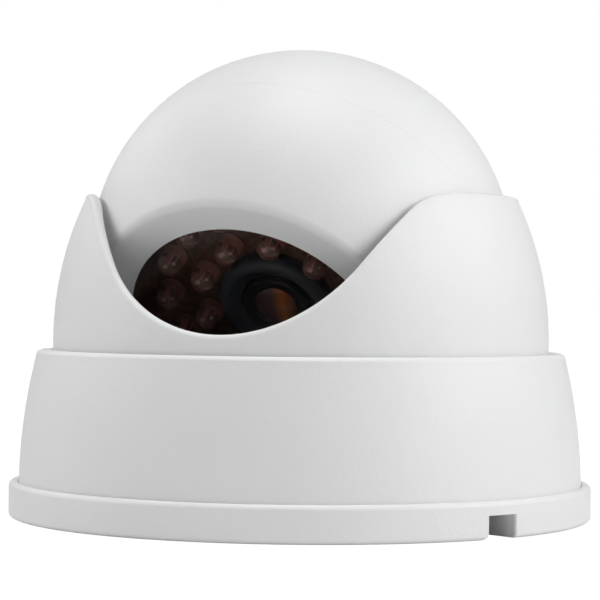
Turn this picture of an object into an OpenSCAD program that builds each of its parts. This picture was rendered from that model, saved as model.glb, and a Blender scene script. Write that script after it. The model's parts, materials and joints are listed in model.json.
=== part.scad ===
// Dome security camera: a round mounting plate and housing, a turning collar with a
// U-shaped notch, and a ball that carries the camera and its infrared lamps.
// Millimetres, +Z up. The origin is at the centre of the face that goes against the
// ceiling or wall. The collar's notch faces -Y; the ball rests turned and tilted.

/* [Mounting plate] */
// Diameter of the mounting plate over its rim
plate_d = 120; // [119.6:0.1:121]
// Height of the plate's rim
rim_h = 7.2; // [6.8:0.1:7.6]
// Thickness of the plate's floor
floor_t = 2.4; // [2.2:0.1:2.8]
// Diameter of the circle on which the fixing holes lie
fixing_pcd = 80; // [76:1:82]
// Diameter of the fixing holes
fixing_hole_d = 4.5; // [4:0.1:5]
// Width of the slot where the lead leaves the rim
lead_slot_w = 7; // [6.6:0.1:8]
// Height of that slot
lead_slot_h = 4.6; // [4.5:0.1:5]

/* [Housing] */
// Height of the housing's top ledge above the mounting face
housing_top = 34; // [34:0.1:34.6]
// Wall of the housing
housing_wall = 2.4; // [2:0.1:2.6]

/* [Collar] */
// Height of the collar's rim above the mounting face
collar_top = 65.8; // [65.4:0.1:66]
// Wall of the collar
collar_wall = 2; // [1.6:0.1:2.2]
// Height of the lowest point of the notch
notch_bottom = 37.9; // [36:0.1:42]
// Radius of the notch's round bottom
notch_r = 30.8; // [28:0.1:31.5]
// Slope of the notch's straight sides
notch_slope = 56; // [50:1:60]
// Radius of the shoulders between the notch and the rim
shoulder_r = 8; // [5:0.5:9]

/* [Ball] */
// Radius of the ball
ball_r = 43.9; // [43.6:0.1:44]
// Height of the ball's centre above the mounting face
ball_z = 52.3; // [52:0.1:52.5]
// Wall of the ball's two shells
ball_wall = 2.4; // [2:0.1:2.4]
// Angle by which the ball looks below the horizontal at rest
look_down = 37.5; // [20:0.5:40]
// Angle by which the ball is turned out of the notch's middle at rest
look_aside = -6.4; // [-14:0.2:14]

/* [Window and lamps] */
// Radius of the clear opening in front of the window
window_open_r = 27.3; // [26.8:0.1:27.6]
// Distance of the opening's edge from the ball's centre
window_open_z = 26.2; // [25.8:0.1:26.4]
// Radius at which the dished mouth meets the ball's surface
mouth_r = 34.3; // [34:0.1:34.6]
// Number of lamps in the inner ring
inner_lamps = 10; // [8:1:10]
// Radius of the inner ring of lamps
inner_ring_r = 16; // [15.8:0.1:16.4]
// Places in the outer ring, one of which holds the light sensor
outer_places = 16; // [12:1:16]
// Radius of the outer ring of lamps
outer_ring_r = 23.5; // [23:0.1:24]

/* [Hidden] */
$fn = 96;

// Colours
shell_white = [0.90, 0.91, 0.92];
board_green = [0.10, 0.32, 0.18];
board_black = [0.08, 0.08, 0.09];
steel = [0.70, 0.71, 0.73];
brass = [0.78, 0.64, 0.33];
black_plastic = [0.05, 0.05, 0.06];
grey_nylon = [0.55, 0.56, 0.58];
smoke = [0.10, 0.06, 0.05, 0.55];
clear_epoxy = [0.80, 0.72, 0.68, 0.6];
coated_glass = [0.45, 0.30, 0.35, 0.6];

// Mounting plate
plate_r = plate_d / 2;
// The rim stands close round the foot of the housing
rim_t = 1.9;
edge_r = 0.8;
cable_hole_r = 8;
drum_outer_r = 49;
drum_inner_r = 46.6;
drum_top = 24;
lead_azimuth = 57.4;
lead_slot_in = 40;
// Walls of the channel that guides the lead from the rim to the drum
lead_wall_t = 1.2;
lead_wall_clear = 0.2;
hook_count = 3;
hook_half = 6;
hook_post = [51, 52.9];
hook_reach = 55;
hook_under = 7;
hook_top = 9;
// Depth by which a raised feature is sunk into the floor it stands on
root = 0.5;
post_r = 2.4;
pilot_r = 0.85;
pilot_floor = 0.8;
past = 1;

// Housing: its outside is an arc about a point inside the far wall
housing_arc_r = 117;
housing_arc_c = [-59, 5];
housing_bottom = floor_t + 0.1;
housing_edge_r = 1;
collar_hole_r = 51.6;
sleeve_bottom = 27.6;
tab_half = 8;
tab_r = [53.3, 56.5];
tab_z = [4.4, 6.6];
// The stop that the retaining ring's lug meets
stop_half_w = 2;
housing_stop_r = [50.4, 55];
housing_stop_z = [20.1, 24.3];

// Collar: its outside is an arc about a point beyond the axis
collar_arc_r = 68.7;
collar_arc_c = [-17.5, 36];
neck_r = 51.2;
neck_bottom = 27.2;
neck_flange_top = 30.4;
neck_bore_r = 44.8;
rim_round = 1;
ring_screw_r = 48.9;
ring_screw_count = 4;
swivel_limit = 15;

// Retaining ring and pan washer
ring_outer_r = 52.9;
ring_inner_r = 41;
ring_bottom = 24.7;
rebate_r = 46.5;
rebate_z = 25.8;
washer_r = [46.8, 48.8];
washer_top = 24.6;
stop_r = [50, 52.6];
stop_drop = 3.6;

// Yoke
lip_outer_r = 46.2;
yoke_inner_r = 42.6;
yoke_outer_r = 44.4;
lip_z = [25.9, 27.1];
sleeve_top = 31;
arm_x = [42.5, 44];
arm_half = 6;
pivot_r = 2.5;
running_gap = 0.05;
swivel_lug = [43.8, 47.6];
swivel_lug_z = [30.9, 33.4];
swivel_lug_w = 3;

// Ball
ball_inner_r = ball_r - ball_wall;
flat_x = 42;
mouth_round = 2.2;
window_r = 29.6;
window_z = [24, 25.6];
window_seat_r = 29.9;
spigot_r = [40.2, 41.2];
spigot_h = 3;
joint_gap = 0.02;
boss_r = 8;
boss_in = 35.5;
bush_r = 3.2;
bush_in = 36;
screw_core_r = 1.4;
wire_hole_angle = 120;
wire_hole_r = 6;

// Boards inside the ball, heights measured along the ball's own axis
led_board_r = 35.6;
led_board_z = [11.4, 13];
led_post_r = 32.8;
led_post_count = 3;
lamp_z = 13.05;
lamp_r = 2.5;
lamp_flange_r = 2.9;
lamp_flange_t = 1;
lamp_h = 5.8;
inner_phase = 43;
outer_phase = 150;
sensor_place = 5;
shroud_r = 12.4;
shroud_bore_r = 7.7;
sensor_board_w = 38;
sensor_board_z = [-5.6, -4];
standoff_at = 16;
standoff_r = 2.5;

// Lens
barrel_r = 6;
head_r = 7.2;
head_z = [11, 16];
barrel_back = -1;
holder_r = 7.7;
holder_top = 9;
holder_ear = 11;

function arc(c, r, from, to, n) = [for (i = [0:n]) let (a = from + (to - from) * i / n)
    [c[0] + r * cos(a), c[1] + r * sin(a)]];
// Radius of an arc about c, radius r, at height z
function arc_x(c, r, z) = c[0] + sqrt(r * r - (z - c[1]) * (z - c[1]));
// Angle at which such an arc stands at height z
function arc_angle(c, r, z) = asin((z - c[1]) / r);

// Azimuth 0 is the notch's direction, -Y; it grows towards +X
module at_azimuth(a, r = 0) rotate([0, 0, a]) translate([0, -r, 0]) children();
module yoke_frame() rotate([0, 0, look_aside]) children();
// The ball's own frame: +Z is where it looks, +X is its tilt axis
module ball_frame()
    translate([0, 0, ball_z]) yoke_frame() rotate([90 + look_down, 0, 0]) children();
module along_x(x) translate([x, 0, 0]) rotate([0, 90, 0]) children();
module both_sides() {
    children();
    mirror([1, 0, 0]) children();
}
module around(count, r, phase = 0)
    for (i = [0:count - 1]) rotate([0, 0, phase + i * 360 / count]) translate([r, 0, 0]) children();
// Part of a ring between two radii and two heights, half wide degrees to each side of -Y
module ring_sector(r, z, half)
    rotate([0, 0, -90 - half]) rotate_extrude(angle = 2 * half)
        translate([r[0], z[0]]) square([r[1] - r[0], z[1] - z[0]]);
// Pan-head screw on +Z, the underside of its head at z = 0
module screw(core_r, length, head_r, head_h) {
    translate([0, 0, -length]) cylinder(r = core_r, h = length + head_h / 2);
    difference() {
        cylinder(r = head_r, h = head_h);
        for (a = [0, 90]) rotate([0, 0, a])
            translate([-head_r * 0.6, -head_r * 0.12, head_h * 0.45])
                cube([head_r * 1.2, head_r * 0.24, head_h]);
    }
}

// ---- Base ----
base_board_size = [34, 12, 1.6];
base_board_y = 36;
base_post_x = 13.5;
base_post_h = 2;
base_board_z = floor_t + base_post_h + 0.05;
clamp_at = 33;
clamp_size = [20, 6, 1.6];
clamp_post_x = 7.4;
clamp_post_h = 4;

module plate_profile() {
    rim_in = plate_r - rim_t;
    polygon(concat(
        [[cable_hole_r, 0]],
        arc([plate_r - edge_r, edge_r], edge_r, -90, 0, 4),
        arc([plate_r - edge_r, rim_h - edge_r], edge_r, 0, 90, 4),
        [[rim_in + 0.2, rim_h], [rim_in, rim_h - 0.2], [rim_in, floor_t],
         [drum_outer_r, floor_t], [drum_outer_r, drum_top], [drum_inner_r, drum_top],
         [drum_inner_r, floor_t], [cable_hole_r, floor_t]]));
}

// The lead's way in: a cut of a given width and height, from below bottom, through rim and drum
module lead_cut(width, bottom, top)
    at_azimuth(lead_azimuth) translate([-width / 2, -plate_r - past, bottom])
        cube([width, plate_r + past - lead_slot_in, top - bottom]);

module lead_walls() at_azimuth(lead_azimuth) both_sides()
    translate([lead_slot_w / 2, -plate_r + rim_t - 0.2, floor_t - root])
        cube([lead_wall_t, plate_r - rim_t + 0.2 - drum_outer_r + root, lead_slot_h - floor_t + root]);

module mounting_plate() color(shell_white) {
    difference() {
        union() {
            rotate_extrude() plate_profile();
            for (i = [0:hook_count - 1]) at_azimuth(i * 360 / hook_count) {
                ring_sector(hook_post, [floor_t - root, hook_top], hook_half);
                ring_sector([hook_post[1] - root, hook_reach], [hook_under, hook_top], hook_half);
            }
            lead_walls();
            for (s = [-1, 1]) {
                translate([s * base_post_x, base_board_y, floor_t - root])
                    cylinder(r = post_r, h = base_post_h + root);
                at_azimuth(lead_azimuth, clamp_at) translate([s * clamp_post_x, 0, floor_t - root])
                    cylinder(r = post_r, h = clamp_post_h + root);
            }
        }
        around(hook_count, fixing_pcd / 2, -90) translate([0, 0, -past])
            cylinder(d = fixing_hole_d, h = floor_t + 2 * past);
        lead_cut(lead_slot_w, -past, lead_slot_h);
        for (s = [-1, 1]) {
            translate([s * base_post_x, base_board_y, pilot_floor])
                cylinder(r = pilot_r, h = floor_t + base_post_h);
            at_azimuth(lead_azimuth, clamp_at) translate([s * clamp_post_x, 0, pilot_floor])
                cylinder(r = pilot_r, h = floor_t + clamp_post_h);
        }
    }
}

module housing_profile() {
    inner = housing_arc_r - housing_wall;
    edge_z = housing_top - housing_edge_r;
    edge_x = arc_x(housing_arc_c, housing_arc_r, edge_z) - housing_edge_r;
    polygon(concat(
        arc(housing_arc_c, housing_arc_r, arc_angle(housing_arc_c, housing_arc_r, housing_bottom),
            arc_angle(housing_arc_c, housing_arc_r, edge_z), 12),
        arc([edge_x, edge_z], housing_edge_r, 15, 90, 5),
        [[collar_hole_r + 0.4, housing_top], [collar_hole_r, housing_top - 0.4],
         [collar_hole_r, sleeve_bottom]],
        arc(housing_arc_c, inner, arc_angle(housing_arc_c, inner, sleeve_bottom),
            arc_angle(housing_arc_c, inner, housing_bottom), 10)));
}

module base_housing() color(shell_white) difference() {
    union() {
        rotate_extrude() housing_profile();
        for (i = [0:hook_count - 1]) at_azimuth(i * 360 / hook_count)
            ring_sector(tab_r, tab_z, tab_half);
        translate([-stop_half_w, -housing_stop_r[1], housing_stop_z[0]])
            cube([2 * stop_half_w, housing_stop_r[1] - housing_stop_r[0],
                  housing_stop_z[1] - housing_stop_z[0]]);
    }
    lead_cut(lead_slot_w + 2 * (lead_wall_t + lead_wall_clear), housing_bottom - past,
        lead_slot_h + lead_wall_clear);
}

module pan_washer() color(black_plastic) difference() {
    translate([0, 0, drum_top]) cylinder(r = washer_r[1], h = washer_top - drum_top);
    translate([0, 0, drum_top - 1]) cylinder(r = washer_r[0], h = 3);
}

module base_board() color(board_green) difference() {
    translate([-base_board_size[0] / 2, base_board_y - base_board_size[1] / 2, base_board_z])
        cube(base_board_size);
    for (s = [-1, 1]) translate([s * base_post_x, base_board_y, base_board_z - 1])
        cylinder(r = 1.2, h = 4);
}

module base_board_screws() color(steel)
    for (s = [-1, 1]) translate([s * base_post_x, base_board_y,
            base_board_z + base_board_size[2] + 0.05]) screw(0.85, 4.2, 1.9, 1.3);

module terminal_block() color(black_plastic) difference() {
    translate([-9, base_board_y - 4, base_board_z + base_board_size[2] + 0.02]) cube([18, 8, 7]);
    for (i = [0:3]) translate([-6.75 + 4.5 * i, base_board_y - 5, base_board_z + 3.6])
        translate([-1.5, 0, 0]) cube([3, 4, 3]);
}

module cable_clamp() color(grey_nylon) at_azimuth(lead_azimuth, clamp_at)
    translate([0, 0, floor_t + clamp_post_h + 0.05]) difference() {
        translate([-clamp_size[0] / 2, -clamp_size[1] / 2, 0]) cube(clamp_size);
        for (s = [-1, 1]) translate([s * clamp_post_x, 0, -1]) cylinder(r = 1.2, h = 4);
    }

module cable_clamp_screws() color(steel) at_azimuth(lead_azimuth, clamp_at)
    for (s = [-1, 1]) translate([s * clamp_post_x, 0, floor_t + clamp_post_h + clamp_size[2] + 0.1])
        screw(0.85, 5, 1.9, 1.3);

// ---- Collar ----
module collar_profile() {
    inner = collar_arc_r - collar_wall;
    edge_z = collar_top - rim_round;
    outer_x = arc_x(collar_arc_c, collar_arc_r, edge_z);
    inner_x = arc_x(collar_arc_c, inner, edge_z);
    polygon(concat(
        [[neck_bore_r, neck_bottom], [neck_r, neck_bottom]],
        arc(collar_arc_c, collar_arc_r, arc_angle(collar_arc_c, collar_arc_r, housing_top),
            arc_angle(collar_arc_c, collar_arc_r, edge_z), 14),
        arc([outer_x - rim_round, edge_z], rim_round, 25, 90, 4),
        arc([inner_x + rim_round, edge_z], rim_round, 90, 165, 4),
        arc(collar_arc_c, inner, arc_angle(collar_arc_c, inner, edge_z - 0.4),
            arc_angle(collar_arc_c, inner, neck_flange_top), 14),
        [[neck_bore_r, neck_flange_top]]));
}

// The notch seen from the front: a round bottom, straight sides, rounded shoulders
module notch_outline() {
    high = collar_top + 5;
    shoulder_z = collar_top - shoulder_r;
    side_low = [notch_r * sin(notch_slope), notch_bottom + notch_r * (1 - cos(notch_slope))];
    side_high_z = shoulder_z + shoulder_r * cos(notch_slope);
    shoulder_x = side_low[0] + (side_high_z - side_low[1]) / tan(notch_slope)
        + shoulder_r * sin(notch_slope);
    right = concat(
        arc([0, notch_bottom + notch_r], notch_r, -90, -90 + notch_slope, 16),
        arc([shoulder_x, shoulder_z], shoulder_r, 90 + notch_slope, 90, 8),
        [[shoulder_x, high]]);
    count = len(right);
    left = [for (i = [count - 1:-1:1]) [-right[i][0], right[i][1]]];
    polygon(concat(right, left));
}

module collar_shell() color(shell_white) difference() {
    union() {
        rotate_extrude() collar_profile();
        for (s = [-1, 1]) at_azimuth(180 + s * (swivel_limit + 4.5))
            translate([-1.5, -49.6, neck_flange_top - 0.5]) cube([3, 4, 4]);
    }
    translate([0, -5, 0]) rotate([90, 0, 0]) linear_extrude(height = 60) notch_outline();
    around(ring_screw_count, ring_screw_r, 45) translate([0, 0, neck_bottom - 1])
        cylinder(r = 0.85, h = 5);
}

module retaining_ring() color(black_plastic) difference() {
    union() {
        rotate_extrude() polygon([[ring_inner_r, ring_bottom], [ring_outer_r, ring_bottom],
            [ring_outer_r, neck_bottom - 0.02], [rebate_r, neck_bottom - 0.02],
            [rebate_r, rebate_z], [ring_inner_r, rebate_z]]);
        translate([-stop_half_w, stop_r[0], ring_bottom - stop_drop])
            cube([2 * stop_half_w, stop_r[1] - stop_r[0], stop_drop + 0.5]);
    }
    around(ring_screw_count, ring_screw_r, 45) {
        translate([0, 0, ring_bottom - 1]) cylinder(r = 1.15, h = 5);
        translate([0, 0, ring_bottom - 1]) cylinder(r = 2.1, h = 2.35);
    }
}

module ring_screws() color(steel) around(ring_screw_count, ring_screw_r, 45)
    translate([0, 0, ring_bottom + 1.3]) mirror([0, 0, 1]) screw(0.82, 4.4, 1.9, 1.2);

// ---- Yoke ----
module tilt_yoke() color(black_plastic) yoke_frame() difference() {
    union() {
        rotate_extrude() polygon([[yoke_inner_r, lip_z[0]], [lip_outer_r, lip_z[0]],
            [lip_outer_r, lip_z[1]], [yoke_outer_r, lip_z[1]], [yoke_outer_r, sleeve_top],
            [yoke_inner_r, sleeve_top]]);
        both_sides() {
            translate([arm_x[0], -arm_half, lip_z[0] + 0.6])
                cube([arm_x[1] - arm_x[0], 2 * arm_half, ball_z - lip_z[0] - 0.6]);
            translate([0, 0, ball_z]) along_x(arm_x[0])
                cylinder(r = arm_half, h = arm_x[1] - arm_x[0]);
        }
        translate([-swivel_lug_w / 2, swivel_lug[0], swivel_lug_z[0] - 1.5])
            cube([swivel_lug_w, 0.5, 1.5]);
        translate([-swivel_lug_w / 2, swivel_lug[0] - 0.9, swivel_lug_z[0]])
            cube([swivel_lug_w, swivel_lug[1] - swivel_lug[0] + 0.9,
                  swivel_lug_z[1] - swivel_lug_z[0]]);
    }
    both_sides() translate([0, 0, ball_z]) along_x(arm_x[0] - 1)
        cylinder(r = pivot_r + running_gap, h = 4);
}

// ---- Ball shells ----
module front_profile() {
    mouth_z = sqrt(ball_r * ball_r - mouth_r * mouth_r);
    cone = atan2(mouth_z - window_open_z, mouth_r - window_open_r);
    // Rounding of the mouth's edge: a circle that touches the ball and the dish
    rc = ball_r - mouth_round;
    nx = -sin(cone);
    nz = cos(cone);
    k = nx * window_open_r + nz * window_open_z - mouth_round;
    ca = asin(k / rc) - atan2(nx, nz);
    centre = [rc * cos(ca), rc * sin(ca)];
    polygon(concat(
        arc([0, 0], ball_r, 0, ca, 14),
        arc(centre, mouth_round, ca + 8, 90 + cone, 7),
        [[window_open_r, window_open_z], [window_open_r, window_z[1] + 0.05],
         [window_seat_r, window_z[1] + 0.05], [window_seat_r, window_z[0] - 0.6],
         [window_seat_r + 1.6, window_z[0] - 0.6]],
        arc([0, 0], ball_inner_r, arc_angle([0, 0], ball_inner_r, window_z[0] + 1), 0, 12)));
}

// Half of the ball's two pivot bosses, and the pockets that hold the bushes
module pivot_boss(side) intersection() {
    both_sides() along_x(boss_in) cylinder(r = boss_r, h = flat_x - boss_in);
    translate([-ball_r, -ball_r, side > 0 ? 0 : -2 * ball_r - joint_gap]) cube(2 * ball_r);
}

module pivot_cuts() both_sides() {
    along_x(boss_in - 1) cylinder(r = bush_r + running_gap, h = 12);
    translate([flat_x, -20, -20]) cube([5, 40, 40]);
}

module ball_front_shell() color(shell_white) ball_frame() difference() {
    union() {
        rotate_extrude() front_profile();
        pivot_boss(1);
        around(led_post_count, led_post_r, 90) translate([0, 0, led_board_z[1] + 0.05])
            cylinder(r = 2.4, h = 11.5);
    }
    pivot_cuts();
    around(led_post_count, led_post_r, 90) translate([0, 0, led_board_z[1] - 1])
        cylinder(r = 0.85, h = 8);
}

// The rear half ends just below the joint plane, but for the spigot that enters the front half
module rear_profile() {
    root_z = -sqrt(ball_inner_r * ball_inner_r - spigot_r[0] * spigot_r[0]);
    polygon(concat(
        arc([0, 0], ball_r, -90, -joint_gap, 24),
        [[spigot_r[1], -joint_gap], [spigot_r[1], spigot_h], [spigot_r[0], spigot_h]],
        arc([0, 0], ball_inner_r, asin(root_z / ball_inner_r), -90, 20)));
}

// Gaps in the spigot for the front half's bosses
module front_boss_room() intersection() {
    both_sides() along_x(boss_in) cylinder(r = boss_r + 0.3, h = flat_x - boss_in);
    translate([-ball_r, -ball_r, -joint_gap]) cube(2 * ball_r);
}

module ball_rear_shell() color(shell_white) ball_frame() difference() {
    union() {
        rotate_extrude() rear_profile();
        pivot_boss(-1);
    }
    pivot_cuts();
    front_boss_room();
    rotate([wire_hole_angle, 0, 0]) cylinder(r = wire_hole_r, h = 2 * ball_r);
}

module wire_grommet() color(black_plastic) ball_frame() rotate([wire_hole_angle, 0, 0])
    difference() {
        translate([0, 0, ball_inner_r - 1.5]) cylinder(r = wire_hole_r - 0.05, h = 2.6);
        translate([0, 0, 30]) cylinder(r = 3.6, h = 20);
    }

module smoked_window() color(smoke) ball_frame()
    translate([0, 0, window_z[0]]) cylinder(r = window_r, h = window_z[1] - window_z[0]);

module pivot_bushes() color(brass) ball_frame() both_sides() difference() {
    along_x(bush_in) cylinder(r = bush_r, h = flat_x - bush_in);
    along_x(bush_in - 1) cylinder(r = screw_core_r + 0.02, h = 10);
}

module pivot_screws() color(steel) ball_frame() both_sides() difference() {
    union() {
        along_x(bush_in + 1) cylinder(r = screw_core_r, h = flat_x - bush_in);
        along_x(flat_x + 0.02) cylinder(r = pivot_r, h = arm_x[1] + 0.1 - flat_x);
        along_x(arm_x[1] + 0.1) cylinder(r = 3.4, h = 1.4);
    }
    for (a = [0, 90]) rotate([a, 0, 0]) translate([arm_x[1] + 0.9, -2, -0.35])
        cube([2, 4, 0.7]);
}

module tilt_washers() color(grey_nylon) ball_frame() both_sides() difference() {
    along_x(flat_x + 0.02) cylinder(r = 6.4, h = 0.4);
    along_x(flat_x - 1) cylinder(r = pivot_r + 0.1, h = 3);
}

// ---- Lamps and boards ----
module led_board() color(board_black) ball_frame() difference() {
    translate([0, 0, led_board_z[0]])
        cylinder(r = led_board_r, h = led_board_z[1] - led_board_z[0]);
    translate([0, 0, led_board_z[0] - 1]) cylinder(r = 8.2, h = 4);
    around(led_post_count, led_post_r, 90) translate([0, 0, led_board_z[0] - 1])
        cylinder(r = 1.1, h = 4);
}

module led_board_screws() color(steel) ball_frame() around(led_post_count, led_post_r, 90)
    translate([0, 0, led_board_z[0] - 0.05]) mirror([0, 0, 1]) screw(0.82, 6, 1.9, 1.3);

// A 5 mm lamp: flange, body and round tip
module lamp() translate([0, 0, lamp_z]) rotate_extrude() polygon(concat(
    [[0, 0], [lamp_flange_r, 0], [lamp_flange_r, lamp_flange_t], [lamp_r, lamp_flange_t]],
    arc([0, lamp_h - lamp_r], lamp_r, 0, 90, 8)));

module inner_ir_leds() color(clear_epoxy) ball_frame()
    around(inner_lamps, inner_ring_r, inner_phase) lamp($fn = 32);

module outer_ir_leds() color(clear_epoxy) ball_frame()
    for (i = [0:outer_places - 1]) if (i != sensor_place)
        rotate([0, 0, outer_phase + i * 360 / outer_places])
            translate([outer_ring_r, 0, 0]) lamp($fn = 32);

module light_sensor() color(brass) ball_frame()
    rotate([0, 0, outer_phase + sensor_place * 360 / outer_places])
        translate([outer_ring_r, 0, lamp_z]) {
            cylinder(r = 2.4, h = 2.2);
            translate([-1.4, -0.4, 2]) cube([2.8, 0.8, 0.5]);
        }

module lens_shroud() color(black_plastic) ball_frame() rotate_extrude() polygon([
    [shroud_bore_r, lamp_z], [shroud_r, lamp_z], [shroud_r, 16.2], [shroud_r - 0.6, 16.8],
    [shroud_r - 1.4, 16.8], [shroud_bore_r + 0.5, 15], [shroud_bore_r, 14.8]]);

module board_standoffs() color(brass) ball_frame() for (x = [-1, 1], y = [-1, 1])
    translate([x * standoff_at, y * standoff_at, sensor_board_z[1] + 0.05]) difference() {
        cylinder(r = standoff_r, h = led_board_z[0] - sensor_board_z[1] - 0.1, $fn = 6);
        translate([0, 0, -1]) cylinder(r = 0.9, h = 7, $fn = 24);
    }

module sensor_board() color(board_green) ball_frame() difference() {
    translate([-sensor_board_w / 2, -sensor_board_w / 2, sensor_board_z[0]])
        cube([sensor_board_w, sensor_board_w, sensor_board_z[1] - sensor_board_z[0]]);
    for (x = [-1, 1], y = [-1, 1]) translate([x * standoff_at, y * standoff_at, -8])
        cylinder(r = 1.1, h = 6, $fn = 24);
    for (s = [-1, 1]) translate([s * holder_ear, 0, -8]) cylinder(r = 1.1, h = 6, $fn = 24);
}

module sensor_board_screws() color(steel) ball_frame() for (x = [-1, 1], y = [-1, 1])
    translate([x * standoff_at, y * standoff_at, sensor_board_z[0] - 0.05])
        mirror([0, 0, 1]) screw(0.85, 5.5, 1.9, 1.3, $fn = 24);

module image_sensor() color([0.2, 0.22, 0.26]) ball_frame()
    translate([-4, -3.5, sensor_board_z[1] + 0.02]) cube([8, 7, 1.2]);

module video_processor() color(black_plastic) ball_frame()
    translate([-6, 3, sensor_board_z[0] - 1.22]) cube([10, 10, 1.2]);

module video_socket() color([0.92, 0.9, 0.84]) ball_frame() difference() {
    translate([-7, -14, sensor_board_z[0] - 6.02]) cube([14, 5, 6]);
    translate([-6, -13, sensor_board_z[0] - 7]) cube([12, 3, 5]);
}

// ---- Lens ----
module lens_holder() color(black_plastic) ball_frame() difference() {
    union() {
        translate([0, 0, sensor_board_z[1] + 0.05])
            cylinder(r = holder_r, h = holder_top - sensor_board_z[1] - 0.05);
        translate([-7.5, -7.5, sensor_board_z[1] + 0.05]) cube([15, 15, 4]);
        for (s = [-1, 1]) translate([s * holder_ear, 0, sensor_board_z[1] + 0.05])
            cylinder(r = 2.4, h = 4);
        translate([-holder_ear, -2, sensor_board_z[1] + 0.05]) cube([2 * holder_ear, 4, 4]);
    }
    translate([0, 0, -1.5]) cylinder(r = barrel_r + running_gap, h = 20);
    translate([-4.6, -4.6, -5]) cube([9.2, 9.2, 4.2]);
    for (s = [-1, 1]) translate([s * holder_ear, 0, -5]) cylinder(r = 0.85, h = 4.2, $fn = 24);
}

module lens_holder_screws() color(steel) ball_frame() for (s = [-1, 1])
    translate([s * holder_ear, 0, sensor_board_z[0] - 0.05])
        mirror([0, 0, 1]) screw(0.82, 4, 1.9, 1.3, $fn = 24);

module ir_filter() color([0.5, 0.75, 0.8, 0.6]) ball_frame()
    translate([-4.5, -4.5, -2.4]) cube([9, 9, 0.7]);

module lens_barrel() color(black_plastic) ball_frame() difference() {
    union() {
        translate([0, 0, barrel_back]) cylinder(r = barrel_r, h = head_z[0] + 1 - barrel_back);
        translate([0, 0, head_z[0]]) cylinder(r = head_r, h = head_z[1] - head_z[0]);
    }
    translate([0, 0, -3]) cylinder(r = 3.9, h = 16.6);
    translate([0, 0, 13.5]) cylinder(r = 4.7, h = 5);
    translate([0, 0, head_z[1] - 0.6]) cylinder(r1 = 5, r2 = 6.4, h = 0.7);
}

module lens_front_glass() color(coated_glass) ball_frame() intersection() {
    translate([0, 0, 13.55]) cylinder(r = 4.65, h = 4);
    translate([0, 0, 6.5]) sphere(r = 9.8);
}

module lens_rear_glass() color(coated_glass) ball_frame()
    translate([0, 0, -0.6]) cylinder(r = 3.85, h = 2);

module lens_lock_ring() color(brass) ball_frame() difference() {
    translate([0, 0, holder_top + 0.15]) cylinder(r = 7.2, h = 1.5);
    translate([0, 0, holder_top - 1]) cylinder(r = barrel_r + 0.02, h = 5);
}

mounting_plate();
base_housing();
pan_washer();
base_board();
base_board_screws();
terminal_block();
cable_clamp();
cable_clamp_screws();
collar_shell();
retaining_ring();
ring_screws();
tilt_yoke();
ball_front_shell();
ball_rear_shell();
smoked_window();
pivot_bushes();
pivot_screws();
tilt_washers();
wire_grommet();
led_board();
led_board_screws();
inner_ir_leds();
outer_ir_leds();
light_sensor();
lens_shroud();
board_standoffs();
sensor_board();
sensor_board_screws();
image_sensor();
video_processor();
video_socket();
lens_holder();
lens_holder_screws();
ir_filter();
lens_barrel();
lens_front_glass();
lens_rear_glass();
lens_lock_ring();
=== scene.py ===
import json
import math
import random

import bpy
import bmesh
from mathutils import Matrix, Vector


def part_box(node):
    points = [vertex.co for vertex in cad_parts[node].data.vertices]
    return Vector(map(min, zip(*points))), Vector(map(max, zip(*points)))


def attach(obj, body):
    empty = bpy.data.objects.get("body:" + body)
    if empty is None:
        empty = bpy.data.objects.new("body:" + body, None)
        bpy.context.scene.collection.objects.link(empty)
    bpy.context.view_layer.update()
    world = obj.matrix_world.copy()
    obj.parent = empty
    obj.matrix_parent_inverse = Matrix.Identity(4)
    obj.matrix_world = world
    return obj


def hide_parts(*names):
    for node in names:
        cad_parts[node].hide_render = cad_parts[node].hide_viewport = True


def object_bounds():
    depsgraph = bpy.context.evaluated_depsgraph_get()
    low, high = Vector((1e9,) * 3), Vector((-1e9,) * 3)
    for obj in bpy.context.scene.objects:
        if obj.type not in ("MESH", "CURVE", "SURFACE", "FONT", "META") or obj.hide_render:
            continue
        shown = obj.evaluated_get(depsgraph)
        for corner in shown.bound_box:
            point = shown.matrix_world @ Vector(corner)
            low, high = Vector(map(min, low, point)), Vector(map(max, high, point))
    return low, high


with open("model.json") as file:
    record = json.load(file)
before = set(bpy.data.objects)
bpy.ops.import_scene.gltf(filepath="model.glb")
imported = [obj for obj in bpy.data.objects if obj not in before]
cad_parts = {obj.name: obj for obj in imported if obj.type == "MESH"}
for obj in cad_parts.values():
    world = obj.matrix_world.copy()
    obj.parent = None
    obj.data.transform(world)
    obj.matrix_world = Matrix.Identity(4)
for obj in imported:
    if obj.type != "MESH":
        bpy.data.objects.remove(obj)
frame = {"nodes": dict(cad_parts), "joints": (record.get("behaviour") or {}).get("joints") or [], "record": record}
cad_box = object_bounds()

# Looks of a dome security camera: white moulded shells, a smoked window over two rings of
# lamps, and the lens in their middle. Sizes are in millimetres until mesh_object() turns
# them into metres. Pairs are (low, high) or (inner, outer) unless a comment says otherwise.

MM = 0.001
TURN = 2 * math.pi
SHARP_DEG = 32     # edges sharper than this stay crisp
ROOT = 0.5         # how deep an added shape is sunk into what carries it
THROUGH = 1.0      # how far a cutting shape runs past what it cuts
FACE_GAP = 0.05    # between two pieces that lie on each other

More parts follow.
